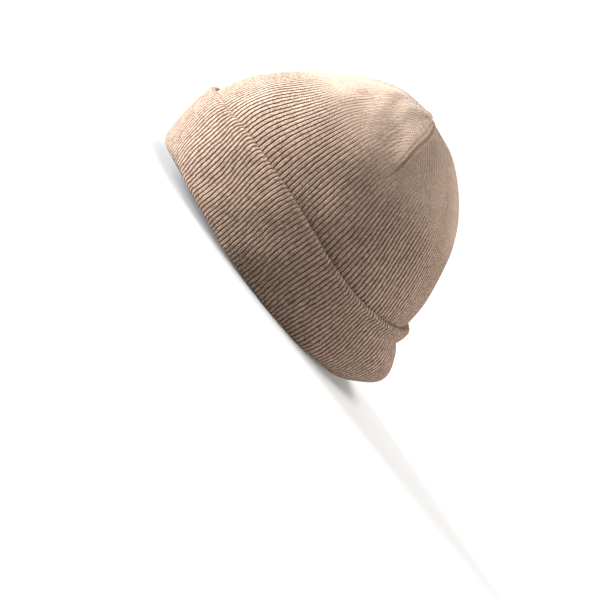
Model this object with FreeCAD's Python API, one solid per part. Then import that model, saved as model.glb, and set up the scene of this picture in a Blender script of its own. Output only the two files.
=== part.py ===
"""Ribbed knitted watch cap with a turned-up cuff: a two-layer crown inside a two-layer cuff.

Frame: +Z up along the crown's axis, -Y the brow, +Y the nape, X across the head.
The hat stands on its bottom fold at Z = 0. Millimetres.
"""
import FreeCAD
import Part

import math
import os

# ---- Driving dimensions ----
HEAD_LENGTH = 194.0          # inside the lining at its widest, brow to nape
HEAD_BREADTH = 157.0         # inside the lining at its widest, side to side
HAT_HEIGHT = 154.5           # floor to the top of the shell, without its closing stitches
WIDEST_HEIGHT = 50.0         # where the crown is widest
MOUTH_TAPER = 5.0            # how far the mouth is drawn in on each side
PLAN_POWER = 2.3             # 2 is an ellipse, more is a squarer oval
BREADTH_EASE = 0.9           # under 1 makes the oval rounder towards the tip
DOME_FULLNESS = 1.6          # more keeps the crown wide for longer
DOME_POINT = 0.55            # more makes the tip sharper

KNIT_THICKNESS = 1.7         # one layer of relaxed rib
LAYER_GAP = 0.2              # air between two layers of the same body
BODY_GAP = 0.4               # air between the crown and the cuff, which slide

CUFF_HEIGHT = 52.0           # floor to the cuff's top edge
CUFF_FLARE = 2.0             # extra air behind the cuff at its top edge
BOTTOM_FOLD_HEIGHT = 4.0
BOTTOM_FOLD_ROUND = 2.6      # how far the fold's underside is rounded in from each face
TOP_FOLD_HEIGHT = 1.9
TOP_FOLD_ROUND = 1.3
NAPE_SWELL = 14.0            # how far the slack cuff stands out at the nape
NAPE_SWELL_HEIGHT = 44.0     # the swell has died out at this height
NAPE_SWELL_SPREAD = 32.0     # degrees round the plan, each side of the nape

DART_START_HEIGHT = 115.0    # the four darts run from here to the tip
SEAM_WIDTH = 1.6
TIP_HALF_LENGTH = 5.0        # the knit ends here and is gathered by the closing stitches
TIP_HOLE_RADIUS = 3.2
CLOSING_KNOT_HEIGHT = 0.9    # how far the closing stitches stand above the knit
TACK_RADIUS = 0.8

# ---- Resolution of the curved skins ----
POINTS_ROUND = 32
DOME_STATIONS = 12
TAPER_STATIONS = 4
CUFF_STATIONS = 9
OVERSHOOT = 1.0              # how far a cutting slab runs past the tip
CUBIC = 3

# ---- Worked out from the above ----
CROWN_STACK = 2 * KNIT_THICKNESS + LAYER_GAP
CUFF_STACK = BODY_GAP + 2 * KNIT_THICKNESS + LAYER_GAP
SHELL_HALF_LENGTH = HEAD_LENGTH / 2 + CROWN_STACK
SHELL_HALF_BREADTH = HEAD_BREADTH / 2 + CROWN_STACK
CROWN_EDGE_HEIGHT = BOTTOM_FOLD_HEIGHT + BODY_GAP
TIP_FRACTION = TIP_HALF_LENGTH / SHELL_HALF_LENGTH
UP = FreeCAD.Vector(0, 0, 1)


def oval_curve(half_breadth, half_length, height, swell=0.0):
    """One closed smooth section of the hat; swell pushes it out at the nape."""
    points = []
    for step in range(POINTS_ROUND):
        angle = 2 * math.pi * step / POINTS_ROUND
        across = abs(math.cos(angle)) / half_breadth
        along = abs(math.sin(angle)) / half_length
        reach = (across ** PLAN_POWER + along ** PLAN_POWER) ** (-1 / PLAN_POWER)
        from_nape = (math.degrees(angle) - 90 + 180) % 360 - 180
        reach += swell * math.exp(-(from_nape / NAPE_SWELL_SPREAD) ** 2)
        points.append(FreeCAD.Vector(reach * math.cos(angle), reach * math.sin(angle), height))
    curve = Part.BSplineCurve()
    curve.interpolate(Points=points, PeriodicFlag=True, Parameters=list(range(POINTS_ROUND + 1)))
    return curve


def skin(sections):
    """A closed body whose wall follows (half_breadth, half_length, height, swell) sections."""
    curves = [oval_curve(*section) for section in sections]
    poles_round = zip(*[curve.getPoles() for curve in curves])
    knots = list(range(len(curves) - CUBIC + 1))
    repeats = [CUBIC + 1] + [1] * (len(knots) - 2) + [CUBIC + 1]
    wall = Part.BSplineSurface()
    wall.buildFromPolesMultsKnots(
        [list(column) for column in poles_round],
        curves[0].getMultiplicities(), repeats, curves[0].getKnots(), knots, True, False, CUBIC, CUBIC)
    side = wall.toShape()
    ends = [Part.Face(Part.Wire([edge])) for edge in side.Edges if edge.isClosed()]
    closed = Part.Shell([side] + ends)
    closed.sewShape()
    return Part.Solid(closed)


def dome_height(fraction):
    """Height of the shell's outer face where it is this fraction of its widest."""
    rise = (1 - fraction ** (1 / DOME_POINT)) ** (1 / DOME_FULLNESS)
    return WIDEST_HEIGHT + (HAT_HEIGHT - WIDEST_HEIGHT) * rise


def taper(height):
    """How far the shell is drawn in below its widest height."""
    return MOUTH_TAPER * (WIDEST_HEIGHT - height) / WIDEST_HEIGHT


def crown_body(depth):
    """Everything inside the face that lies this deep below the shell's outer face."""
    sections = []
    for step in range(TAPER_STATIONS):
        height = CROWN_EDGE_HEIGHT + (WIDEST_HEIGHT - CROWN_EDGE_HEIGHT) * step / TAPER_STATIONS
        inset = taper(height) + depth
        sections.append((SHELL_HALF_BREADTH - inset, SHELL_HALF_LENGTH - inset, height, 0.0))
    last_angle = math.acos(TIP_FRACTION)
    for step in range(DOME_STATIONS):
        fraction = math.cos(last_angle * step / (DOME_STATIONS - 1))
        nudge = 0.5 * fraction * TIP_FRACTION
        lower, upper = min(1.0, fraction + nudge), fraction - nudge
        outward = dome_height(upper) - dome_height(lower)
        upward = (lower - upper) * (SHELL_HALF_LENGTH + SHELL_HALF_BREADTH) / 2
        length = math.hypot(outward, upward)
        inset = depth * outward / length
        half_breadth = SHELL_HALF_BREADTH * fraction ** BREADTH_EASE - inset
        half_length = SHELL_HALF_LENGTH * fraction - inset
        sections.append((half_breadth, half_length, dome_height(fraction) - depth * upward / length, 0.0))
    return skin(sections)


def crown_layer(outer_depth):
    """One knitted layer of the crown, open at the mouth and pierced at the tip."""
    hollow = crown_body(outer_depth + KNIT_THICKNESS)
    tip_hole = Part.makeCylinder(TIP_HOLE_RADIUS, HAT_HEIGHT)
    return crown_body(outer_depth).cut(hollow).cut(tip_hole)


def dart_slabs():
    """The four upright slices in which the dart seams lie, by the side they face."""
    reach = SHELL_HALF_LENGTH + CUFF_STACK
    rise = HAT_HEIGHT - DART_START_HEIGHT + OVERSHOOT
    slabs = {}
    for name, turn in (("right", 0), ("back", 90), ("left", 180), ("front", 270)):
        corner = FreeCAD.Vector(0, -SEAM_WIDTH / 2, DART_START_HEIGHT)
        slab = Part.makeBox(reach, SEAM_WIDTH, rise, corner)
        slab.rotate(FreeCAD.Vector(0, 0, 0), UP, turn)
        slabs[name] = slab
    return slabs


def split_at_darts(layer, slabs):
    """The layer without its dart strips, and the strips themselves."""
    seams = {name: layer.common(slab) for name, slab in slabs.items()}
    for slab in slabs.values():
        layer = layer.cut(slab)
    return layer, seams


def tip_knot(outer_depth, stand_proud):
    """The closing stitches that fill the hole at the tip of one layer."""
    top = dome_height(TIP_FRACTION) - outer_depth
    return Part.makeCylinder(TIP_HOLE_RADIUS, KNIT_THICKNESS + stand_proud,
                             FreeCAD.Vector(0, 0, top - KNIT_THICKNESS))


def cuff_section(depth, height, round_in=0.0):
    """A section of the cuff this deep inside the cuff's outer face."""
    share = height / CUFF_HEIGHT
    reach = CUFF_STACK + CUFF_FLARE * share - taper(height) - depth - round_in
    swell = NAPE_SWELL * math.sin(math.pi * height / NAPE_SWELL_HEIGHT)
    return (SHELL_HALF_BREADTH + reach, SHELL_HALF_LENGTH + reach, height, max(0.0, swell))


def cuff_band(outer_depth):
    """One knitted layer of the cuff, between its two folds."""
    low, high = BOTTOM_FOLD_HEIGHT, CUFF_HEIGHT - TOP_FOLD_HEIGHT
    heights = [low + (high - low) * step / (CUFF_STATIONS - 1) for step in range(CUFF_STATIONS)]
    outside = skin([cuff_section(outer_depth, height) for height in heights])
    inside = skin([cuff_section(outer_depth + KNIT_THICKNESS, height) for height in heights])
    return outside.cut(inside)


def quarter_round(radius, steps=4):
    """(share of the height, inset) pairs round a quarter circle, from its flat end up."""
    pairs = []
    for step in range(steps + 1):
        angle = math.pi / 2 * step / steps
        pairs.append((1 - math.cos(angle), radius * (1 - math.sin(angle))))
    return pairs


def cuff_bottom_fold():
    """The rounded lip on which the hat stands, under all four layers."""
    wall = CUFF_STACK + CROWN_STACK
    outside, inside = [], []
    for share, inset in quarter_round(BOTTOM_FOLD_ROUND):
        height = BOTTOM_FOLD_HEIGHT * share
        outside.append(cuff_section(0.0, height, inset))
        half_breadth, half_length, _, _ = cuff_section(wall, height, -inset)
        inside.append((half_breadth, half_length, height, 0.0))
    lip = skin(outside)
    return lip.cut(skin(inside))


def cuff_top_fold():
    """The rounded edge where the cuff's outer layer turns over into its inner layer."""
    wall = 2 * KNIT_THICKNESS + LAYER_GAP
    outside, inside = [], []
    for share, inset in reversed(quarter_round(TOP_FOLD_ROUND)):
        height = CUFF_HEIGHT - TOP_FOLD_HEIGHT * share
        outside.append(cuff_section(0.0, height, inset))
        inside.append(cuff_section(wall, height, -inset))
    return skin(outside).cut(skin(inside))


def build():
    """Every node's solid, by name."""
    nodes = {}
    slabs = dart_slabs()
    lining_depth = KNIT_THICKNESS + LAYER_GAP

    nodes["outer_shell"], shell_seams = split_at_darts(crown_layer(0.0), slabs)
    nodes["lining"], lining_seams = split_at_darts(crown_layer(lining_depth), slabs)
    for side in slabs:
        nodes["crown_dart_seam_" + side] = shell_seams[side]
        nodes["lining_dart_seam_" + side] = lining_seams[side]

    nodes["crown_closing_stitches"] = tip_knot(0.0, CLOSING_KNOT_HEIGHT)
    nodes["lining_closing_stitches"] = tip_knot(lining_depth, 0.0)
    tack_foot = FreeCAD.Vector(0, 0, dome_height(TIP_FRACTION) - lining_depth)
    nodes["crown_tack_thread"] = Part.makeCylinder(TACK_RADIUS, LAYER_GAP, tack_foot)

    nodes["cuff_outer_layer"] = cuff_band(0.0)
    nodes["cuff_inner_layer"] = cuff_band(lining_depth)
    nodes["cuff_top_fold"] = cuff_top_fold()
    nodes["cuff_bottom_fold"] = cuff_bottom_fold()
    return nodes


def centre_on_origin(nodes):
    """Move the hat along Y so that the origin is in the middle of its whole box."""
    hat = Part.makeCompound(list(nodes.values())).optimalBoundingBox(False)
    for solid in nodes.values():
        solid.translate(FreeCAD.Vector(0, -hat.Center.y, 0))


def main():
    os.makedirs("parts", exist_ok=True)
    nodes = build()
    centre_on_origin(nodes)
    for name, solid in nodes.items():
        solid.exportStep(os.path.join("parts", name + ".step"))
        print(name, solid.ShapeType, len(solid.Solids), round(solid.Volume, 1), solid.isValid())


main()
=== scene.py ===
"""Fine-rib knitted watch cap with a turned-up cuff, standing on a pale floor."""
import math

import bmesh
import bpy
import numpy as np
from mathutils import Matrix, Vector


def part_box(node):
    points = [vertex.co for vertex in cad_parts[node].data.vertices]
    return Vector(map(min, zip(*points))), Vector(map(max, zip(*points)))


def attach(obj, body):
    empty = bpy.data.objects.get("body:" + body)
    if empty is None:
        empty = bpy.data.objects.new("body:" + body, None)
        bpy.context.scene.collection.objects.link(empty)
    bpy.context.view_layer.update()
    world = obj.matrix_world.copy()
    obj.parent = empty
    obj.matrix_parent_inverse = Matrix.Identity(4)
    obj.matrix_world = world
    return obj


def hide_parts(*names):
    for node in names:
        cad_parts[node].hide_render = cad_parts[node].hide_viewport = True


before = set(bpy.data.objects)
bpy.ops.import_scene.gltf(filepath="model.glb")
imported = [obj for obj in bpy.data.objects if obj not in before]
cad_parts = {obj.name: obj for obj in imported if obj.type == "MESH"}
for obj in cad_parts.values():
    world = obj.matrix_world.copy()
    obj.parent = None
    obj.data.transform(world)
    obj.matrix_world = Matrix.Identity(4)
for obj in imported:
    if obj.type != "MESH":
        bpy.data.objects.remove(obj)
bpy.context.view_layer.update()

MM = 0.001

# ---- The frame's sizes, in metres ----
shell_low, shell_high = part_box("outer_shell")
SHELL_HALF_BREADTH = (shell_high.x - shell_low.x) / 2
SHELL_HALF_LENGTH = (shell_high.y - shell_low.y) / 2
CENTRE_Y = (shell_high.y + shell_low.y) / 2
HAT_TOP = shell_high.z
CROWN_EDGE = shell_low.z
CUFF_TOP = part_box("cuff_top_fold")[1].z
BOTTOM_FOLD_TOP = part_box("cuff_bottom_fold")[1].z

# ---- Shape of the hat: a hill is (size, middle, width) and a band is (low, high) ----
PLAN_POWER = 2.3             # squareness of the oval
BREADTH_EASE = 0.9           # the oval gets rounder towards the tip
WIDEST_HEIGHT = 50 * MM
MOUTH_TAPER = 5 * MM
DOME_FULLNESS = 1.68
DOME_POINT = 0.54
WAIST = (1.1 * MM, 97 * MM, 16 * MM)         # a slight hollow round the crown
DRIFT_TO_BROW = (1.7 * MM, 52 * MM, 28 * MM)
DRIFT_TO_NAPE = (2.2 * MM, 115 * MM, 22 * MM)
TIP_FRACTION = 0.035         # of the widest, where the knit is gathered
TIP_BAND = (125 * MM, 145 * MM)
TIP_SINK = (2.2 * MM, 9 * MM, 12 * MM)       # behind the hat's middle
TIP_RISE = (1.0 * MM, -28 * MM, 10 * MM)     # in front of it
BROW_LIFT = 7.2 * MM         # the mouth's edge curves up at the brow
BROW_LIFT_BAND = (-10 * MM, 92 * MM)
NAPE_LIFT = 2.7 * MM
NAPE_LIFT_BAND = (40 * MM, 95 * MM)
FLOOR_GAP = 0.05 * MM

# ---- Layers ----
FACE_INSET = 0.8 * MM        # the middle of the knit's face, below the shell's
KNIT = 1.5 * MM              # one layer of knit, under its ribs
SEAM_KNIT = 0.8 * MM         # added to the shell's layer from the darts' start up
CROWN_STACK = 3.6 * MM       # shell and lining
LINING_GAP = 0.8 * MM        # under the shell's layer
LINING_SEAM_GAP = 0.5 * MM   # added to it from the darts' start up
LINING_RELIEF = 0.5 * MM
HIDDEN_ROWS = 9              # of a layer's side that faces the other layer

# ---- Cuff ----
CUFF_STACK = 4.0 * MM        # clearance and the cuff's two layers
CUFF_FLARE = 1.0 * MM
CUFF_LEAN_IN = 0.8 * MM      # of the cuff's top edge, towards the crown
CUFF_LEAN_BAND = (38 * MM, 58 * MM)
BROW_SWELL = 1.2 * MM
BROW_SWELL_SPREAD = 40       # degrees
NAPE_SWELL = 16.4 * MM
NAPE_SWELL_HEIGHT = 44 * MM
NAPE_SWELL_SPREAD = 32       # degrees
SWELL_POWER = 0.8            # below 1 makes the swell fuller
BOTTOM_ROUND = 3.6 * MM
TOP_ROUND = 3.0 * MM
CUFF_EDGE = (54.8 * MM, 2.0 * MM, 1.3 * MM, -3.2 * MM, 0.6 * MM)   # cosine series from the brow
EDGE_DIP = (3.2 * MM, -0.25, 0.5)            # by the brow, in radians from it
FACE_ROWS = 22
BACKING_ROWS = 12
BACKING_OUTSIDE, BACKING_INSIDE = -1.9 * MM, -3.2 * MM   # from the middle of the cuff's face
BACKING_DROP = 7 * MM        # below the cuff's top edge
BACKING_RAISE = 1.0 * MM     # above the bottom fold

# ---- Ribs ----
CROWN_RIBS = 188
CUFF_RIBS = 216
GORES = 4
CROWN_GORE_RIBS = CROWN_RIBS // GORES
RIB_PHASES = (0.0, 0.07, 0.15, 0.25, 0.75, 0.85, 0.93)   # mesh columns of one rib
COARSE_PHASES = (0.0, 0.2, 0.5, 0.8)
RIB_RELIEF = 0.95 * MM
RIB_DATUM = 0.85             # the share of a rib's height that lies below the smooth surface
RIB_TOP, RIB_ROUNDING = 0.94, 0.24
RIB_FADES = ((0.72, (92 * MM, 118 * MM)), (0.16, (118 * MM, 140 * MM)))   # share lost over a band
GROOVE_WIDTH = 0.08          # of a rib
CROWN_PULL = 0.145           # radians that the ribs are drawn to the brow between cuff and darts
CROWN_PULL_TOP = 115 * MM
CROWN_PULL_HEIGHT = 63 * MM
CROWN_PULL_EVENNESS = 1.5    # how evenly the pull is spread over each side of the hat
HEM_PULL = 0.08              # radians that the ribs are drawn to the nape at the cuff's bottom
HEM_PULL_TOP = 40 * MM
CROWN_WANDER = 0.3           # ribs that neighbouring grooves wander together
CUFF_WANDER = 0.45
FINE_SWING, FINE_LENGTH = 0.6, 0.47          # of a groove's second wave, in shares of its first
SOFT_RELIEF = 0.4 * MM       # of the uneven surface
SOFT_RISE = 18 * MM          # the crown's unevenness grows over this height above the cuff
STITCH_HEIGHT = 1.25 * MM
WALL_SAMPLES, DOME_SAMPLES, PLAN_SAMPLES = 200, 1200, 2881
COVERED_ROWS = 5             # of the crown inside the cuff
CUFF_OVERLAP = 8 * MM        # of the crown's close rows and the cuff
ROW_STEP = 3.0 * MM
LINING_ROW_STEP = 5.0 * MM

# ---- Darts: across a dart, minus is towards the brow ----
SIDES = {"right": 0, "back": 90, "left": 180, "front": 270}
DART_START = 115 * MM
SIDE_SHIFT = 1.6 * MM        # that the side darts are drawn to the nape
SIDE_SHIFT_BAND = (100 * MM, 118 * MM)
SIDE_SHIFT_AT_TIP = (1.7 * MM, 147 * MM, 8 * MM)
SIDE_SHIFT_SPREAD = 14 * MM
LEAST_REACH = 6 * MM         # keeps the shift small by the tip
CREASE = (-1.5 * MM, 0, 1.0 * MM)
CREASE_BAND = (108 * MM, 120 * MM)
CREASE_FADE, CREASE_FADE_BAND = 0.6, (143 * MM, 153 * MM)
FOLD_BAND = (112 * MM, 128 * MM)
FOLD_FADE, FOLD_FADE_BAND = 0.75, (138 * MM, 153 * MM)
FOLD_RELIEF = 2.9 * MM       # the puffed fold that overhangs a side dart
FOLD_EDGE = 2.0 * MM
FOLD_WIDTH, FOLD_WIDENING = 4.5 * MM, 7.5 * MM
FOLD_WIDENING_BAND = (118 * MM, 142 * MM)
FOLD_HOLLOW = (0.7 * MM, 3.2 * MM, 3.6 * MM)             # behind the crease
DENTS = (((1.5 * MM, -26 * MM, 6 * MM), (141 * MM, 7 * MM)),   # each across and up the crown
         ((1.1 * MM, -46 * MM, 8 * MM), (131 * MM, 7 * MM)))
RIDGE_RELIEF = 1.0 * MM      # on both sides of the front and back darts
RIDGE_EDGE, RIDGE_WIDTH = 1.8 * MM, 6.5 * MM

# ---- Stitching ----
SEAM_OVERLAP = 1.15          # a stitch's length, in pitches
SEAM_SKEW = 0.35
GATHERS = 9
GATHER_RADIUS = 3.8 * MM


# ---- Uneven knitting: seeded sums of waves, smooth everywhere ----
def waves(seed, count, cycles, length):
    """A smooth field over (share of a turn, height), about -1 to 1: count waves, with between
    cycles[0] and cycles[1] of them round the hat and from length[0] to length[1] long upwards."""
    rng = np.random.default_rng(seed)
    turns = np.round(rng.uniform(*cycles, count)) * rng.choice([-1, 1], count)
    lengths = rng.uniform(*length, count)
    phases = rng.uniform(0, 2 * np.pi, count)

    def field(turn, height):
        total = 0
        for cycle, wave, phase in zip(turns, lengths, phases):
            total = total + np.sin(2 * np.pi * (cycle * turn + height / wave) + phase)
        return total / math.sqrt(count)

    return field


def groove_jitter(seed, ribs, amount, length):
    """How far each groove wanders on its own, in ribs, over (share of a turn, height)."""
    rng = np.random.default_rng(seed)
    phase_a, phase_b = rng.uniform(0, 2 * np.pi, (2, ribs))
    strength = rng.uniform(0.2, 1.0, ribs) * amount

    def field(turn, height):
        rib, height = np.broadcast_arrays(turn * ribs, height)
        index = np.floor(rib + 1e-9).astype(int)
        share = rib - index
        total = 0
        for side, weight in ((0, 1 - share), (1, share)):
            groove = (index + side) % ribs
            swing = np.sin(2 * np.pi * height / length + phase_a[groove])
            fine = np.sin(2 * np.pi * height / (FINE_LENGTH * length) + phase_b[groove])
            swing = swing + FINE_SWING * fine
            total = total + weight * strength[groove] * swing
        return total

    return field


crown_wander = waves(seed=11, count=7, cycles=(3, 8), length=(60 * MM, 150 * MM))
crown_soft = waves(seed=12, count=9, cycles=(4, 14), length=(30 * MM, 90 * MM))
crown_jitter = groove_jitter(seed=13, ribs=CROWN_RIBS, amount=0.09, length=23 * MM)
cuff_wander = waves(seed=21, count=7, cycles=(3, 9), length=(45 * MM, 120 * MM))
cuff_soft = waves(seed=22, count=9, cycles=(4, 16), length=(25 * MM, 70 * MM))
cuff_jitter = groove_jitter(seed=23, ribs=CUFF_RIBS, amount=0.10, length=17 * MM)


# ---- The oval plan ----
def oval_reach(angle, half_breadth, half_length):
    across = np.abs(np.cos(angle)) / half_breadth
    along = np.abs(np.sin(angle)) / half_length
    return (across ** PLAN_POWER + along ** PLAN_POWER) ** (-1 / PLAN_POWER)


def even_turns():
    """Angles round the widest oval, and the share of its girth passed at each."""
    angles = np.linspace(0, 2 * np.pi, PLAN_SAMPLES)
    reach = oval_reach(angles, SHELL_HALF_BREADTH, SHELL_HALF_LENGTH)
    x, y = reach * np.cos(angles), reach * np.sin(angles)
    length = np.concatenate([[0], np.cumsum(np.hypot(np.diff(x), np.diff(y)))])
    return angles, length / length[-1]


TABLE_ANGLES, TABLE_TURNS = even_turns()


def turn_to_angle(turn):
    whole = np.floor(turn)
    return 2 * np.pi * whole + np.interp(turn - whole, TABLE_TURNS, TABLE_ANGLES)


def smoothstep(low, high, value):
    t = np.clip((value - low) / (high - low), 0, 1)
    return t * t * (3 - 2 * t)


def hill(value, middle, width):
    return np.exp(-((value - middle) / width) ** 2)


def bump(value, size, middle, width):
    return size * hill(value, middle, width)


def from_direction(angle, degrees):
    """Signed angle from a direction round the plan, in radians."""
    return (angle - math.radians(degrees) + np.pi) % (2 * np.pi) - np.pi


def rib_profile(pattern):
    """0 at the bottom of a groove, 1 on top of a rib."""
    share = pattern - np.floor(pattern)
    to_groove = np.minimum(share, 1 - share)
    top = RIB_TOP + RIB_ROUNDING * to_groove * (1 - to_groove)
    return (1 - hill(to_groove, 0, GROOVE_WIDTH)) * top


def sideways_drift(height):
    """The hat leans a little to the brow low down and to the nape higher up."""
    return bump(height, *DRIFT_TO_NAPE) - bump(height, *DRIFT_TO_BROW)


def settle(points):
    """The mouth's edge curves up at the brow and a little at the nape; the floor carries the rest."""
    y = points[..., 1] - CENTRE_Y
    lift = BROW_LIFT * smoothstep(*BROW_LIFT_BAND, -y) + NAPE_LIFT * smoothstep(*NAPE_LIFT_BAND, y)
    points[..., 2] += lift * np.clip(1 - points[..., 2] / CUFF_TOP, 0, 1)
    points[..., 2] = np.maximum(points[..., 2], FLOOR_GAP)
    return points


# ---- Meshes ----
def column_turns(ribs, phases):
    """Where each mesh column is, as a share of a turn."""
    return (np.arange(ribs)[:, None] + np.array(phases)[None, :]).ravel() / ribs


def grid_normals(grid):
    """Outward unit normals of a grid of points whose columns run round the hat."""
    round_step = np.roll(grid, -1, axis=1) - np.roll(grid, 1, axis=1)
    normals = np.cross(round_step, np.gradient(grid, axis=0))
    return normals / np.maximum(np.linalg.norm(normals, axis=2, keepdims=True), 1e-12)


def link_piece(name, mesh):
    mesh.validate()
    piece = bpy.data.objects.new(name, mesh)
    bpy.context.scene.collection.objects.link(piece)
    return piece


def ring_mesh(name, loops, turn, ribs, gores, spread, depth):
    """A closed ring of knit: loops is rows x columns x 3, and the last row joins the first.

    spread is the share of a gore's ribs that a row still has, and depth how deep its ribs are;
    the material reads both, from the map Knit and from rib_depth.
    """
    rows, columns = loops.shape[:2]
    closed = np.concatenate([loops, loops[:1]])
    steps = np.linalg.norm(np.diff(closed, axis=0), axis=2).mean(axis=1)
    along = np.concatenate([[0], np.cumsum(steps)]) / STITCH_HEIGHT

    mesh = bpy.data.meshes.new(name)
    row, column = np.arange(rows)[:, None], np.arange(columns)[None, :]
    next_row, next_column = (row + 1) % rows, (column + 1) % columns
    corners = np.stack(np.broadcast_arrays(
        row * columns + column, row * columns + next_column,
        next_row * columns + next_column, next_row * columns + column), axis=-1).reshape(-1, 4)
    mesh.vertices.add(rows * columns)
    mesh.vertices.foreach_set("co", loops.reshape(-1))
    mesh.loops.add(corners.size)
    mesh.loops.foreach_set("vertex_index", corners.reshape(-1))
    mesh.polygons.add(len(corners))
    mesh.polygons.foreach_set("loop_start", np.arange(0, corners.size, 4))
    mesh.polygons.foreach_set("loop_total", np.full(len(corners), 4))
    mesh.update(calc_edges=True)

    low, high = turn * ribs, np.append(turn[1:], 1.0) * ribs
    gore_ribs = ribs / gores
    middle = (np.floor(low / gore_ribs + 1e-9) + 0.5) * gore_ribs
    spread_low, spread_high = spread[:, None], np.roll(spread, -1)[:, None]
    v_low, v_high = along[:-1][:, None] + 0 * low, along[1:][:, None] + 0 * low
    uv = np.stack([
        np.stack([middle + (low - middle) * spread_low, v_low], -1),
        np.stack([middle + (high - middle) * spread_low, v_low], -1),
        np.stack([middle + (high - middle) * spread_high, v_high], -1),
        np.stack([middle + (low - middle) * spread_high, v_high], -1)], axis=2)
    mesh.uv_layers.new(name="Knit").data.foreach_set("uv", uv.reshape(-1))
    values = mesh.attributes.new("rib_depth", "FLOAT", "POINT")
    values.data.foreach_set("value", np.repeat(depth, columns))
    mesh.polygons.foreach_set("use_smooth", np.ones(len(corners), dtype=bool))
    return link_piece(name, mesh)


def stitch_mesh(name, stitches, sides=8, bands=6, bluntness=0.8, flatness=0.8):
    """Plump little stitches: (middle, along, out, length, width) each."""
    vertices, faces = [], []
    for middle, along, out, length, width in stitches:
        along = along / np.linalg.norm(along)
        across = np.cross(along, out)
        across /= max(np.linalg.norm(across), 1e-9)
        out = np.cross(across, along)
        first = len(vertices)
        for band in range(bands + 1):
            polar = math.pi * band / bands
            ring = math.sin(polar) ** bluntness * width / 2
            for side in range(sides):
                turn = 2 * math.pi * side / sides
                point = middle + along * (-math.cos(polar) * length / 2)
                point = point + across * (ring * math.cos(turn))
                point = point + out * (flatness * ring * math.sin(turn))
                vertices.append(point)
        for band in range(bands):
            for side in range(sides):
                a, b = first + band * sides + side, first + band * sides + (side + 1) % sides
                faces.append((a, b, b + sides, a + sides))
    mesh = bpy.data.meshes.new(name)
    mesh.from_pydata([tuple(vertex) for vertex in vertices], [], faces)
    mesh.polygons.foreach_set("use_smooth", np.ones(len(mesh.polygons), dtype=bool))
    piece = link_piece(name, mesh)
    fuse_poles(piece)
    return piece


def fuse_poles(piece):
    work = bmesh.new()
    work.from_mesh(piece.data)
    bmesh.ops.remove_doubles(work, verts=work.verts, dist=1e-7)
    work.to_mesh(piece.data)
    work.free()


# ---- The crown ----
def dome_height(fraction):
    rise = (1 - fraction ** (1 / DOME_POINT)) ** (1 / DOME_FULLNESS)
    return WIDEST_HEIGHT + (HAT_TOP - WIDEST_HEIGHT) * rise


def taper(height):
    return MOUTH_TAPER * np.maximum(0, WIDEST_HEIGHT - height) / WIDEST_HEIGHT


def meridian(step):
    """(fraction of the widest, height) of rows from the mouth to the tip, even along the knit."""
    lower = np.linspace(CROWN_EDGE, WIDEST_HEIGHT, WALL_SAMPLES)
    angles = np.linspace(0, math.acos(TIP_FRACTION), DOME_SAMPLES)[1:]
    fraction = np.concatenate([np.ones(WALL_SAMPLES), np.cos(angles)])
    height = np.concatenate([lower, dome_height(np.cos(angles))])
    radius = (SHELL_HALF_BREADTH + SHELL_HALF_LENGTH) / 2 * fraction
    length = np.concatenate([[0], np.cumsum(np.hypot(np.diff(radius), np.diff(height)))])
    seen_from = np.interp(CUFF_TOP - CUFF_OVERLAP, height, length)
    rows = np.concatenate([
        np.linspace(0, seen_from, COVERED_ROWS + 1)[:-1],
        np.linspace(seen_from, length[-1], int((length[-1] - seen_from) / step))])
    return np.interp(rows, length, fraction), np.interp(rows, length, height)


def crown_grid(fraction, height, turn):
    """Smooth points of the crown's outer face, without ribs or darts."""
    wander = CROWN_WANDER * crown_wander(turn, height) + crown_jitter(turn, height)
    angle = turn_to_angle(turn + wander / CROWN_RIBS)
    pull = CROWN_PULL * np.clip((CROWN_PULL_TOP - height) / CROWN_PULL_HEIGHT, 0, 1)
    sideways = np.tanh(CROWN_PULL_EVENNESS * np.cos(angle)) / math.tanh(CROWN_PULL_EVENNESS)
    angle = angle + pull * sideways
    shift = SIDE_SHIFT + bump(height, *SIDE_SHIFT_AT_TIP)
    shift = smoothstep(*SIDE_SHIFT_BAND, height) * shift
    inset = taper(height) + bump(height, *WAIST)
    half_breadth = (SHELL_HALF_BREADTH - FACE_INSET) * fraction ** BREADTH_EASE - inset
    half_length = (SHELL_HALF_LENGTH - FACE_INSET) * fraction - inset
    reach = oval_reach(angle, half_breadth, half_length)
    for side, sign in (("right", 1), ("left", -1)):
        away = from_direction(angle, SIDES[side]) * reach
        near = hill(away, 0, SIDE_SHIFT_SPREAD)
        angle = angle + sign * shift / np.maximum(reach, LEAST_REACH) * near
    reach = oval_reach(angle, half_breadth, half_length)
    y = sideways_drift(height) + reach * np.sin(angle)
    sink = smoothstep(*TIP_BAND, height) * (bump(y, *TIP_SINK) - bump(y, *TIP_RISE))
    return np.stack(np.broadcast_arrays(reach * np.cos(angle), CENTRE_Y + y, height - sink), axis=-1)


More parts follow.
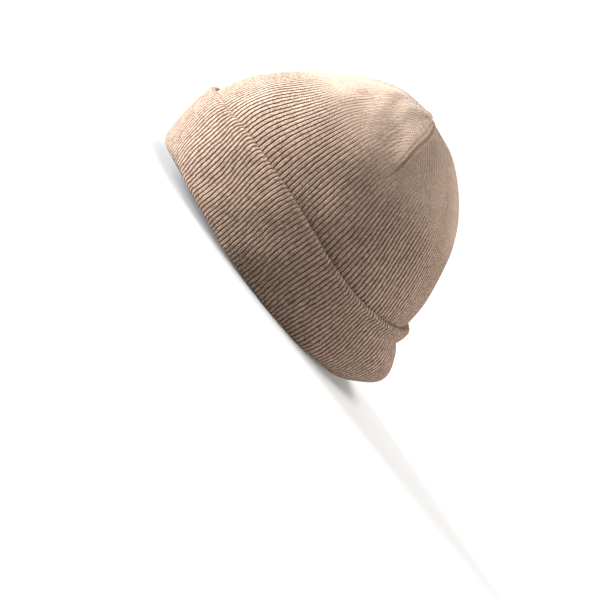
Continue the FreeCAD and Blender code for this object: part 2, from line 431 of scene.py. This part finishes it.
def dart_relief(turn, girth, height):
    """Each dart's crease, the puffed fold that overhangs it and the dents beside the fold."""
    fold = smoothstep(*FOLD_BAND, height) * (1 - FOLD_FADE * smoothstep(*FOLD_FADE_BAND, height))
    crease = smoothstep(*CREASE_BAND, height)
    crease = crease * (1 - CREASE_FADE * smoothstep(*CREASE_FADE_BAND, height))
    width = FOLD_WIDTH + FOLD_WIDENING * smoothstep(*FOLD_WIDENING_BAND, height)
    total = 0
    for side, degrees in SIDES.items():
        away = ((turn - degrees / 360 + 0.5) % 1 - 0.5) * girth
        if side == "left":
            away = -away
        total = total + crease * bump(away, *CREASE)
        if side in ("right", "left"):
            puff = (1 - hill(away, 0, FOLD_EDGE)) * hill(away, 0, width) * (away < 0)
            total = total + fold * (FOLD_RELIEF * puff - bump(away, *FOLD_HOLLOW))
            for across, up in DENTS:
                total = total - bump(away, *across) * hill(height, *up)
        else:
            ridges = (1 - hill(away, 0, RIDGE_EDGE)) * hill(away, 0, RIDGE_WIDTH)
            total = total + fold * RIDGE_RELIEF * ridges
    return total


def rib_depth(height):
    """The ribs flatten towards the darts."""
    return 1 - sum(share * smoothstep(*band, height) for share, band in RIB_FADES)


def hidden_rows(count):
    """A few of a layer's rows, from the last to the first, for its hidden side."""
    return np.unique(np.linspace(0, count - 1, HIDDEN_ROWS).astype(int))[::-1]


def seam_paths(face, normals):
    """The points and normals down each dart."""
    columns = {side: int(round(degrees / 360 * face.shape[1])) for side, degrees in SIDES.items()}
    return {side: (face[:, column], normals[:, column]) for side, column in columns.items()}


def build_crown():
    fraction, height = meridian(ROW_STEP)
    turn = column_turns(CROWN_RIBS, RIB_PHASES)
    base = crown_grid(fraction[:, None], height[:, None], turn[None, :])
    normals = grid_normals(base)
    girth = np.linalg.norm(np.roll(base, -1, axis=1) - base, axis=2).sum(axis=1)
    spread = np.minimum(1, girth / np.interp(DART_START, height, girth))
    middle = (np.floor(turn * GORES + 1e-9) + 0.5) * CROWN_GORE_RIBS
    pattern = middle + (turn * CROWN_RIBS - middle) * spread[:, None]
    depth = rib_depth(height)
    relief = RIB_RELIEF * depth[:, None] * (rib_profile(pattern) - RIB_DATUM)
    seen = smoothstep(CUFF_TOP, CUFF_TOP + SOFT_RISE, height)[:, None]
    relief = relief + SOFT_RELIEF * seen * crown_soft(turn[None, :], height[:, None])
    relief = relief + dart_relief(turn[None, :], girth[:, None], height[:, None])
    outer = base + normals * relief[..., None]
    pick = hidden_rows(len(height))
    thick = KNIT + np.where(height[pick] > DART_START, SEAM_KNIT, 0)
    inner = base[pick] - normals[pick] * thick[:, None, None]
    loops = settle(np.concatenate([outer, inner]))
    piece = ring_mesh("crown_rib_knit", loops, turn, CROWN_RIBS, GORES,
                      np.concatenate([spread, spread[pick]]), np.concatenate([depth, depth[pick]]))
    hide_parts("outer_shell")
    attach(piece, "crown")
    return piece, seam_paths(outer, normals), height


def build_lining():
    fraction, height = meridian(LINING_ROW_STEP)
    turn = column_turns(CROWN_RIBS, COARSE_PHASES)
    base = crown_grid(fraction[:, None], height[:, None], turn[None, :])
    normals = grid_normals(base)
    gap = KNIT + LINING_GAP + np.where(height > DART_START, LINING_SEAM_GAP, 0)
    groove = LINING_RELIEF * (1 - rib_profile(turn * CROWN_RIBS))
    face = base - normals * (gap + KNIT)[:, None, None] + normals * groove[None, :, None]
    pick = hidden_rows(len(height))
    back = base[pick] - normals[pick] * gap[pick][:, None, None]
    loops = settle(np.concatenate([face, back])[::-1])
    ones = np.ones(len(loops))
    piece = ring_mesh("lining_rib_knit", loops, turn, CROWN_RIBS, GORES, ones, ones)
    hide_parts("lining")
    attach(piece, "crown")
    return piece, seam_paths(face, -normals), height


def seam_stitches(paths, heights, from_height, pitch, width, sink):
    """Stitches end to end down each dart, each a little askew."""
    stitches = []
    for points, normals in paths.values():
        upper = heights > from_height
        points, normals = points[upper], normals[upper]
        steps = np.linalg.norm(np.diff(points, axis=0), axis=1)
        length = np.concatenate([[0], np.cumsum(steps)])

        def sample(place, values):
            return np.array([np.interp(place, length, values[:, axis]) for axis in range(3)])

        for index, place in enumerate(np.arange(pitch, length[-1] - pitch / 2, pitch)):
            at, out = sample(place, points), sample(place, normals)
            along = sample(place + pitch / 3, points) - at
            skew = np.cross(out, along) * (SEAM_SKEW if index % 2 else -SEAM_SKEW)
            stitches.append((at - out * sink, along + skew, out, pitch * SEAM_OVERLAP, width))
    return stitches


def tip_gathers(middle, radius, top, down):
    """The closing yarn: a ring of short stitches drawn in to one point."""
    rise = np.array([0, 0, 1.0])
    stitches = []
    for index in range(GATHERS):
        turn = 2 * math.pi * index / GATHERS + (0.2 if index % 2 else 0)
        out = np.array([math.cos(turn), math.sin(turn), 0.0])
        place = middle + out * radius * 0.5 + rise * (top - down * 0.5)
        stitches.append((place, out - rise * 0.25, rise, radius * 1.25, radius * 0.55))
    knot = np.array([1.0, 0.4, 0])
    stitches.append((middle + rise * top, knot, rise, radius * 0.7, radius * 0.5))
    return stitches


def build_stitching(crown_paths, crown_heights, lining_paths, lining_heights):
    crown_seam = stitch_mesh("crown_dart_stitching", seam_stitches(
        crown_paths, crown_heights, from_height=118 * MM,
        pitch=2.1 * MM, width=0.8 * MM, sink=0.3 * MM))
    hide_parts(*["crown_dart_seam_" + side for side in SIDES])
    lining_seam = stitch_mesh("lining_dart_stitching", seam_stitches(
        lining_paths, lining_heights, from_height=112 * MM,
        pitch=2.4 * MM, width=1.2 * MM, sink=0.0))
    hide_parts(*["lining_dart_seam_" + side for side in SIDES])
    crown_top, lining_top = [np.array([points[-1] for points, _ in paths.values()]).mean(axis=0)
                             for paths in (crown_paths, lining_paths)]
    crown_tip = stitch_mesh("crown_tip_gathers", tip_gathers(
        crown_top, GATHER_RADIUS, top=0.0, down=0.4 * MM))
    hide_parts("crown_closing_stitches", "crown_tack_thread")
    lining_tip = stitch_mesh("lining_tip_gathers", tip_gathers(
        lining_top, GATHER_RADIUS, top=0.2 * MM, down=0.2 * MM))
    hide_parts("lining_closing_stitches")
    pieces = (crown_seam, lining_seam, crown_tip, lining_tip)
    for piece in pieces:
        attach(piece, "crown")
    return pieces


# ---- The cuff ----
def cuff_edge_height(angle):
    """The cuff's top edge: highest at the nape, lowest behind the ears."""
    turn = from_direction(angle, SIDES["front"])
    edge = sum(share * np.cos(order * turn) for order, share in enumerate(CUFF_EDGE))
    return edge - bump(turn, *EDGE_DIP)


def cuff_point(turn, height, out, swell_share=1.0):
    """A point of the cuff this far outside the shell's widest oval."""
    wander = CUFF_WANDER * cuff_wander(turn, height) + cuff_jitter(turn, height)
    angle = turn_to_angle(turn + wander / CUFF_RIBS)
    low = np.clip(1 - height / HEM_PULL_TOP, 0, 1) ** 2
    angle = angle + HEM_PULL * low * np.cos(angle) * np.maximum(np.sin(angle), 0)
    reach = oval_reach(angle, SHELL_HALF_BREADTH + out, SHELL_HALF_LENGTH + out)
    bulge = np.maximum(np.sin(np.pi * np.clip(height / NAPE_SWELL_HEIGHT, 0, 1)), 0) ** SWELL_POWER
    for side, swell, spread in (("back", NAPE_SWELL, NAPE_SWELL_SPREAD),
                                ("front", BROW_SWELL, BROW_SWELL_SPREAD)):
        near = hill(np.degrees(from_direction(angle, SIDES[side])), 0, spread)
        reach = reach + swell_share * bulge * swell * near
    y = CENTRE_Y + sideways_drift(height) + reach * np.sin(angle)
    return np.stack(np.broadcast_arrays(reach * np.cos(angle), y, height), axis=-1)


def cuff_face_out(height):
    lean = CUFF_LEAN_IN * smoothstep(*CUFF_LEAN_BAND, height)
    return CUFF_STACK + CUFF_FLARE * height / CUFF_TOP - lean - taper(height)


def cuff_rows(turn):
    """The cuff's outer side: in under the mouth, up the face, over the top fold and down.

    Also the rows that its face starts and ends with.
    """
    top = cuff_edge_height(turn_to_angle(turn))
    inside = -CROWN_STACK - taper(BOTTOM_ROUND)
    rows = []
    for bend in np.radians([180, 202, 225, 247, 270]):
        height = BOTTOM_ROUND * (1 + math.sin(bend))
        rows.append(cuff_point(turn, height, inside + BOTTOM_ROUND * (1 + math.cos(bend)), 0.0))
    face_start = len(rows)
    for share, bend in zip((0.2, 0.4, 0.65, 0.85, 1.0), np.radians([280, 296, 315, 338, 360])):
        height = BOTTOM_ROUND * (1 + math.sin(bend))
        out = cuff_face_out(BOTTOM_ROUND) - BOTTOM_ROUND * (1 - math.cos(bend))
        rows.append(cuff_point(turn, height, out, share))
    for share in np.linspace(0, 1, FACE_ROWS + 2)[1:-1]:
        height = BOTTOM_ROUND + (top - TOP_ROUND - BOTTOM_ROUND) * share
        rows.append(cuff_point(turn, height, cuff_face_out(height)))
    face_end = len(rows)
    fold_out = cuff_face_out(top - TOP_ROUND)
    for bend in np.radians([0, 26, 52, 78, 104, 130, 156, 180]):
        height = top - TOP_ROUND * (1 - math.sin(bend))
        rows.append(cuff_point(turn, height, fold_out - TOP_ROUND * (1 - math.cos(bend))))
    for drop in (3 * MM, 7 * MM):
        height = top - TOP_ROUND - drop
        rows.append(cuff_point(turn, height, cuff_face_out(height) - 2 * TOP_ROUND))
    return np.array(rows), face_start, face_end


def build_cuff():
    turn = column_turns(CUFF_RIBS, RIB_PHASES)
    base, face_start, face_end = cuff_rows(turn)
    normals = grid_normals(base)
    count = len(base)
    relief = RIB_RELIEF * (rib_profile(turn * CUFF_RIBS)[None, :] - RIB_DATUM)
    face = np.zeros((count, 1))
    face[face_start:face_end] = 1
    relief = relief + SOFT_RELIEF * face * cuff_soft(turn[None, :], base[..., 2])
    outer = base + normals * relief[..., None]
    bottom_rows, top_rows = [0, 2, 4, 6, 9], np.arange(count - 11, count, 2)
    pick = np.concatenate([bottom_rows, np.arange(12, count - 12, 5), top_rows])[::-1]
    inner = base[pick] - normals[pick] * KNIT
    loops = settle(np.concatenate([outer, inner]))
    ones = np.ones(len(loops))
    piece = ring_mesh("cuff_rib_knit", loops, turn, CUFF_RIBS, 1, ones, ones)
    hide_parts("cuff_outer_layer", "cuff_top_fold", "cuff_bottom_fold")
    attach(piece, "cuff")
    return piece


def build_cuff_backing():
    """The cuff's inner layer, between the crown and the layer that is seen."""
    turn = column_turns(CUFF_RIBS, COARSE_PHASES)
    top = cuff_edge_height(turn_to_angle(turn)) - BACKING_DROP
    low = BOTTOM_FOLD_TOP + BACKING_RAISE
    upwards = np.linspace(0, 1, BACKING_ROWS)
    rows = []
    for out, shares in ((BACKING_OUTSIDE, upwards), (BACKING_INSIDE, 1 - upwards)):
        for share in shares:
            height = low + (top - low) * share
            rows.append(cuff_point(turn, height, cuff_face_out(height) + out))
    loops = settle(np.array(rows))
    ones = np.ones(len(loops))
    piece = ring_mesh("cuff_backing_knit", loops, turn, CUFF_RIBS, 1, ones, ones)
    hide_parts("cuff_inner_layer")
    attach(piece, "cuff")
    return piece


# ---- Colours ----
KNIT_LIGHT, KNIT_DARK = (0.67, 0.51, 0.395, 1), (0.27, 0.192, 0.138, 1)
LINING_LIGHT, LINING_DARK = (0.63, 0.48, 0.37, 1), (0.26, 0.185, 0.13, 1)
THREAD_LIGHT, THREAD_DARK = (0.30, 0.175, 0.095, 1), (0.15, 0.08, 0.045, 1)
PAINTED_GROOVE_SHADE = (0.28, 0.14, 0.07, 1)          # painted shade: what the grooves, the stitches' gaps and eyes and the line between the wales multiply the yarn's colour by
STRAW = (0.56, 0.35, 0.19, 1)                # stray flecks
SMOOTH_LIGHT = 0.48          # share of the light yarn where the ribs are flat
SMOOTHING = 0.75
FLOOR_DARK, FLOOR_LIGHT = (0.56, 0.56, 0.56, 1), (0.59, 0.59, 0.59, 1)
ROUGHNESS = (0.82, 0.97)

# ---- Scales of the noises, per metre, and the stitch pattern, in ribs and stitches ----
FLECK_SCALE, PATCH_SCALE, STRAW_SCALE, FUZZ_SCALE = 1000, 60, 420, 2200
PLY_SCALE, THREAD_FLECK_SCALE, FLOOR_SCALE = 420, 1500, 9
GROOVE_BAND = (0.28, 0.39)   # from a rib's middle
WALE_PLACE = 0.16            # each rib has a wale on both sides of its middle
WALE_SLANT = 3.0             # how steeply a stitch's legs rise
WALE_OFFSET = 0.25           # between the two wales' stitches
FUZZ_DEPTH = 0.7


# ---- Materials ----
class Nodes:
    """A small builder for one node tree."""

    COLOUR_A, COLOUR_B, COLOUR_RESULT = 6, 7, 2      # colour sockets of a Mix node

    def __init__(self, tree, shader=None):
        self.tree = tree
        self.shader = shader

    def add(self, kind, **settings):
        node = self.tree.nodes.new("ShaderNode" + kind)
        for key, value in settings.items():
            setattr(node, key, value)
        return node

    def feed(self, socket, value):
        if getattr(value, "is_output", False):
            self.tree.links.new(value, socket)
        else:
            socket.default_value = value

    def math(self, operation, *values):
        node = self.add("Math", operation=operation)
        for socket, value in zip(node.inputs, values):
            self.feed(socket, value)
        return node.outputs[0]

    def ramp(self, value, low, high, to_low=0.0, to_high=1.0):
        node = self.add("MapRange", interpolation_type="SMOOTHSTEP")
        for socket, item in zip(node.inputs, (value, low, high, to_low, to_high)):
            self.feed(socket, item)
        return node.outputs["Result"]

    def noise(self, vector, scale, detail=2.0, roughness=0.5):
        node = self.add("TexNoise")
        settings = {"Vector": vector, "Scale": scale, "Detail": detail, "Roughness": roughness}
        for name, value in settings.items():
            self.feed(node.inputs[name], value)
        return node.outputs["Fac"]

    def stitch_tone(self, wale, course):
        """The same random tone all over one stitch."""
        cell = self.add("CombineXYZ")
        self.feed(cell.inputs["X"], self.math("FLOOR", wale))
        self.feed(cell.inputs["Y"], self.math("FLOOR", course))
        random = self.add("TexWhiteNoise", noise_dimensions="2D")
        self.feed(random.inputs["Vector"], cell.outputs[0])
        return random.outputs["Value"]

    def mix(self, factor, first, second, blend="MIX"):
        node = self.add("Mix", data_type="RGBA", blend_type=blend)
        self.feed(node.inputs["Factor"], factor)
        self.feed(node.inputs[self.COLOUR_A], first)
        self.feed(node.inputs[self.COLOUR_B], second)
        return node.outputs[self.COLOUR_RESULT]


def new_material(name):
    material = bpy.data.materials.new(name)
    material.use_nodes = True
    return material, Nodes(material.node_tree, material.node_tree.nodes["Principled BSDF"])


def wool_finish(n, relief, strength, distance, fleck):
    bump = n.add("Bump")
    bump.inputs["Strength"].default_value = strength
    bump.inputs["Distance"].default_value = distance
    n.feed(bump.inputs["Height"], relief)
    n.feed(n.shader.inputs["Normal"], bump.outputs["Normal"])
    n.feed(n.shader.inputs["Roughness"], n.ramp(fleck, 0.2, 0.8, *ROUGHNESS))
    n.shader.inputs["Sheen Weight"].default_value = 0.12
    n.shader.inputs["Sheen Roughness"].default_value = 0.6
    n.shader.inputs["Specular IOR Level"].default_value = 0.15


def knit_material(name, light, dark):
    """Rib of two wales: stitches in columns, painted shade in the grooves between the ribs and in the
    stitches' gaps, flecked yarn.
    """
    material, n = new_material(name)
    parts = n.add("SeparateXYZ")
    n.feed(parts.inputs[0], n.add("UVMap", uv_map="Knit").outputs["UV"])
    rib, course = parts.outputs["X"], parts.outputs["Y"]
    place = n.add("TexCoord").outputs["Object"]
    depth = n.add("Attribute", attribute_name="rib_depth").outputs["Fac"]

    side = n.math("SUBTRACT", n.math("FRACT", rib), 0.5)
    from_middle = n.math("ABSOLUTE", side)
    groove = n.math("MULTIPLY", n.ramp(from_middle, *GROOVE_BAND), depth)
    from_wale = n.math("ABSOLUTE", n.math("SUBTRACT", from_middle, WALE_PLACE))
    slant = n.math("ADD", n.math("ADD", course, n.math("MULTIPLY", from_wale, WALE_SLANT)),
                   n.math("MULTIPLY", n.math("SIGN", side), WALE_OFFSET))
    leg = n.math("PINGPONG", slant, 0.5)
    gap = n.ramp(leg, 0.0, 0.28, 1.0, 0.0)
    eye = n.math("MULTIPLY", n.ramp(from_wale, 0.04, 0.13, 1.0, 0.0),
                 n.ramp(leg, 0.10, 0.34, 1.0, 0.0))
    between = n.ramp(from_middle, 0.0, 0.09, 1.0, 0.0)

    tone = n.stitch_tone(n.math("MULTIPLY", rib, 2.0), slant)
    fleck = n.noise(place, FLECK_SCALE, 3.0, 0.75)
    patch = n.noise(place, PATCH_SCALE, 3.0, 0.6)
    straw = n.ramp(n.noise(place, STRAW_SCALE), 0.60, 0.70, 0.0, 0.4)
    smooth = n.math("MULTIPLY", n.math("SUBTRACT", 1.0, depth), SMOOTHING)
    smooth_yarn = [SMOOTH_LIGHT * a + (1 - SMOOTH_LIGHT) * b for a, b in zip(light, dark)]
    yarn = n.mix(n.ramp(fleck, 0.38, 0.58), dark, light)
    for share, colour in ((n.ramp(tone, 0.0, 0.5, 0.85, 0.0), dark),
                          (n.ramp(tone, 0.7, 1.0, 0.0, 0.7), light),
                          (n.ramp(patch, 0.35, 0.65, 0.0, 0.2), dark),
                          (straw, STRAW), (smooth, smooth_yarn)):
        yarn = n.mix(share, yarn, colour)

    # painted shade: the yarn's colour is darkened in the grooves, between the wales and in the
    # stitches' gaps and eyes, where shade falls; the same masks lower the bump
    relief = 1.0
    for mask, shade, drop in ((gap, 0.3, 0.4), (eye, 1.0, 0.7),
                              (between, 0.45, 0.6), (groove, 1.0, 1.0)):
        yarn = n.mix(n.math("MULTIPLY", mask, shade), yarn, PAINTED_GROOVE_SHADE, "MULTIPLY")
        relief = n.math("SUBTRACT", relief, n.math("MULTIPLY", mask, drop))
    n.feed(n.shader.inputs["Base Color"], yarn)
    fuzz = n.math("MULTIPLY", n.noise(place, FUZZ_SCALE, 2.0, 0.7), FUZZ_DEPTH)
    wool_finish(n, n.math("ADD", relief, fuzz), 0.8, 0.4 * MM, fleck)
    return material


def thread_material(name, light, dark):
    """Sewing yarn: two plies twisted round each other, flecked."""
    material, n = new_material(name)
    place = n.add("TexCoord").outputs["Object"]
    plies = n.add("TexWave", wave_type="BANDS", bands_direction="DIAGONAL")
    n.feed(plies.inputs["Vector"], place)
    plies.inputs["Scale"].default_value = PLY_SCALE
    plies.inputs["Distortion"].default_value = 2.0
    fleck = n.noise(place, THREAD_FLECK_SCALE, 3.0, 0.6)
    yarn = n.mix(n.ramp(fleck, 0.3, 0.7), dark, light)
    n.feed(n.shader.inputs["Base Color"], n.mix(plies.outputs["Fac"], yarn, dark))
    wool_finish(n, n.math("ADD", plies.outputs["Fac"], fleck), 0.6, 0.15 * MM, fleck)
    return material


def floor_material():
    material, n = new_material("pale_floor")
    place = n.add("TexCoord").outputs["Object"]
    shade = n.mix(n.noise(place, FLOOR_SCALE, 3.0), FLOOR_DARK, FLOOR_LIGHT)
    n.feed(n.shader.inputs["Base Color"], shade)
    n.shader.inputs["Roughness"].default_value = 0.9
    n.shader.inputs["Specular IOR Level"].default_value = 0.0
    # painted light: the floor glows, dim by the hat and bright far off, standing in for lamp light
    n.shader.inputs["Emission Color"].default_value = (1, 1, 1, 1)
    away = n.add("VectorMath", operation="LENGTH")
    n.feed(away.inputs[0], place)
    painted_glow = n.ramp(away.outputs["Value"], *FLOOR_PAINTED_GLOW_BAND, *FLOOR_PAINTED_GLOW)
    n.feed(n.shader.inputs["Emission Strength"], painted_glow)
    return material


# ---- The stage ----
CAMERA_AZIMUTH = 81
CAMERA_ELEVATION = 7
CAMERA_DISTANCE = 1.3
VIEW_WIDTH = 0.4             # what the picture's width spans at the hat
HAT_LEAN = 52.9              # degrees clockwise that the hat's axis leans in the picture
AIM_ALONG = 41.8 * MM        # the picture's middle, from the hat's middle towards the nape
AIM_HEIGHT = 11.3 * MM
FLOOR_REACH = 40.0
FLOOR_PAINTED_GLOW = (0.12, 0.86)    # painted light: the floor glows, faintly by the hat and strongly far off, where the lamps don't reach
FLOOR_PAINTED_GLOW_BAND = (0.3, 1.4)                 # metres from the hat's middle
SKY_FAR = 1.08               # behind the hat
SKY_NEAR = 0.08              # on the camera's side
SKY_BAND = (-0.7, -0.1)      # where the one turns into the other
LIGHT_AIM_HEIGHT = 0.07
# name, place, size, power and colour
LIGHTS = (
    ("key", (0.0, -1.6, 0.26), 0.5, 82, (0.97, 0.98, 1.0)),
    ("brow_rim", (-0.8, -1.4, 0.34), 0.66, 62, (0.9, 0.96, 1.0)),
    ("overhead", (-0.1, 0.25, 1.8), 1.4, 29, (1.0, 0.98, 0.96)),
    ("nape_fill", (-0.1, 1.6, 0.42), 0.8, 25, (1.0, 0.97, 0.93)),
)


def build_camera():
    azimuth, elevation = math.radians(CAMERA_AZIMUTH), math.radians(CAMERA_ELEVATION)
    back = Vector((math.sin(azimuth) * math.cos(elevation),
                   -math.cos(azimuth) * math.cos(elevation), math.sin(elevation)))
    along = Vector((math.cos(azimuth), math.sin(azimuth), 0))
    rise = back.cross(along)
    lean = math.radians(HAT_LEAN)
    right = along * math.cos(lean) + rise * math.sin(lean)
    up = rise * math.cos(lean) - along * math.sin(lean)
    aim = Vector((0, CENTRE_Y, AIM_HEIGHT)) + along * AIM_ALONG
    camera = bpy.data.objects.new("camera", bpy.data.cameras.new("camera"))
    camera.data.lens = camera.data.sensor_width * CAMERA_DISTANCE / VIEW_WIDTH
    axes = Matrix((right, up, back)).transposed().to_4x4()
    camera.matrix_world = Matrix.Translation(aim + back * CAMERA_DISTANCE) @ axes
    camera.data.clip_end = 50
    bpy.context.scene.collection.objects.link(camera)
    bpy.context.scene.camera = camera


def area_light(name, place, size, power, colour):
    data = bpy.data.lights.new(name, "AREA")
    data.shape = "DISK"
    data.size = size
    data.energy = power
    data.color = colour
    light = bpy.data.objects.new(name, data)
    light.location = place
    target = Vector((0, CENTRE_Y, LIGHT_AIM_HEIGHT))
    light.rotation_euler = (target - Vector(place)).to_track_quat("-Z", "Y").to_euler()
    bpy.context.scene.collection.objects.link(light)


def build_world():
    """A white backdrop behind the hat that darkens towards the camera's side."""
    world = bpy.data.worlds.new("studio")
    world.use_nodes = True
    n = Nodes(world.node_tree)
    parts = n.add("SeparateXYZ")
    n.feed(parts.inputs[0], n.add("TexCoord").outputs["Generated"])
    background = world.node_tree.nodes["Background"]
    background.inputs["Color"].default_value = (1, 1, 1, 1)
    strength = n.ramp(parts.outputs["X"], *SKY_BAND, SKY_FAR, SKY_NEAR)
    n.feed(background.inputs["Strength"], strength)
    bpy.context.scene.world = world


def build_stage():
    mesh = bpy.data.meshes.new("floor")
    corners = [(x * FLOOR_REACH, y * FLOOR_REACH, 0) for x, y in ((-1, -1), (1, -1), (1, 1), (-1, 1))]
    mesh.from_pydata(corners, [], [(0, 1, 2, 3)])
    floor = bpy.data.objects.new("floor", mesh)
    bpy.context.scene.collection.objects.link(floor)
    mesh.materials.append(floor_material())
    for light in LIGHTS:
        area_light(*light)
    build_world()
    bpy.context.scene.view_settings.view_transform = "Standard"


def main():
    knit = knit_material("rib_knit", KNIT_LIGHT, KNIT_DARK)
    lining_knit = knit_material("lining_knit", LINING_LIGHT, LINING_DARK)
    thread = thread_material("seam_thread", THREAD_LIGHT, THREAD_DARK)
    crown, crown_paths, crown_heights = build_crown()
    lining, lining_paths, lining_heights = build_lining()
    for piece in (crown, build_cuff(), build_cuff_backing()):
        piece.data.materials.append(knit)
    lining.data.materials.append(lining_knit)
    for piece in build_stitching(crown_paths, crown_heights, lining_paths, lining_heights):
        piece.data.materials.append(thread)
    build_stage()
    build_camera()


main()
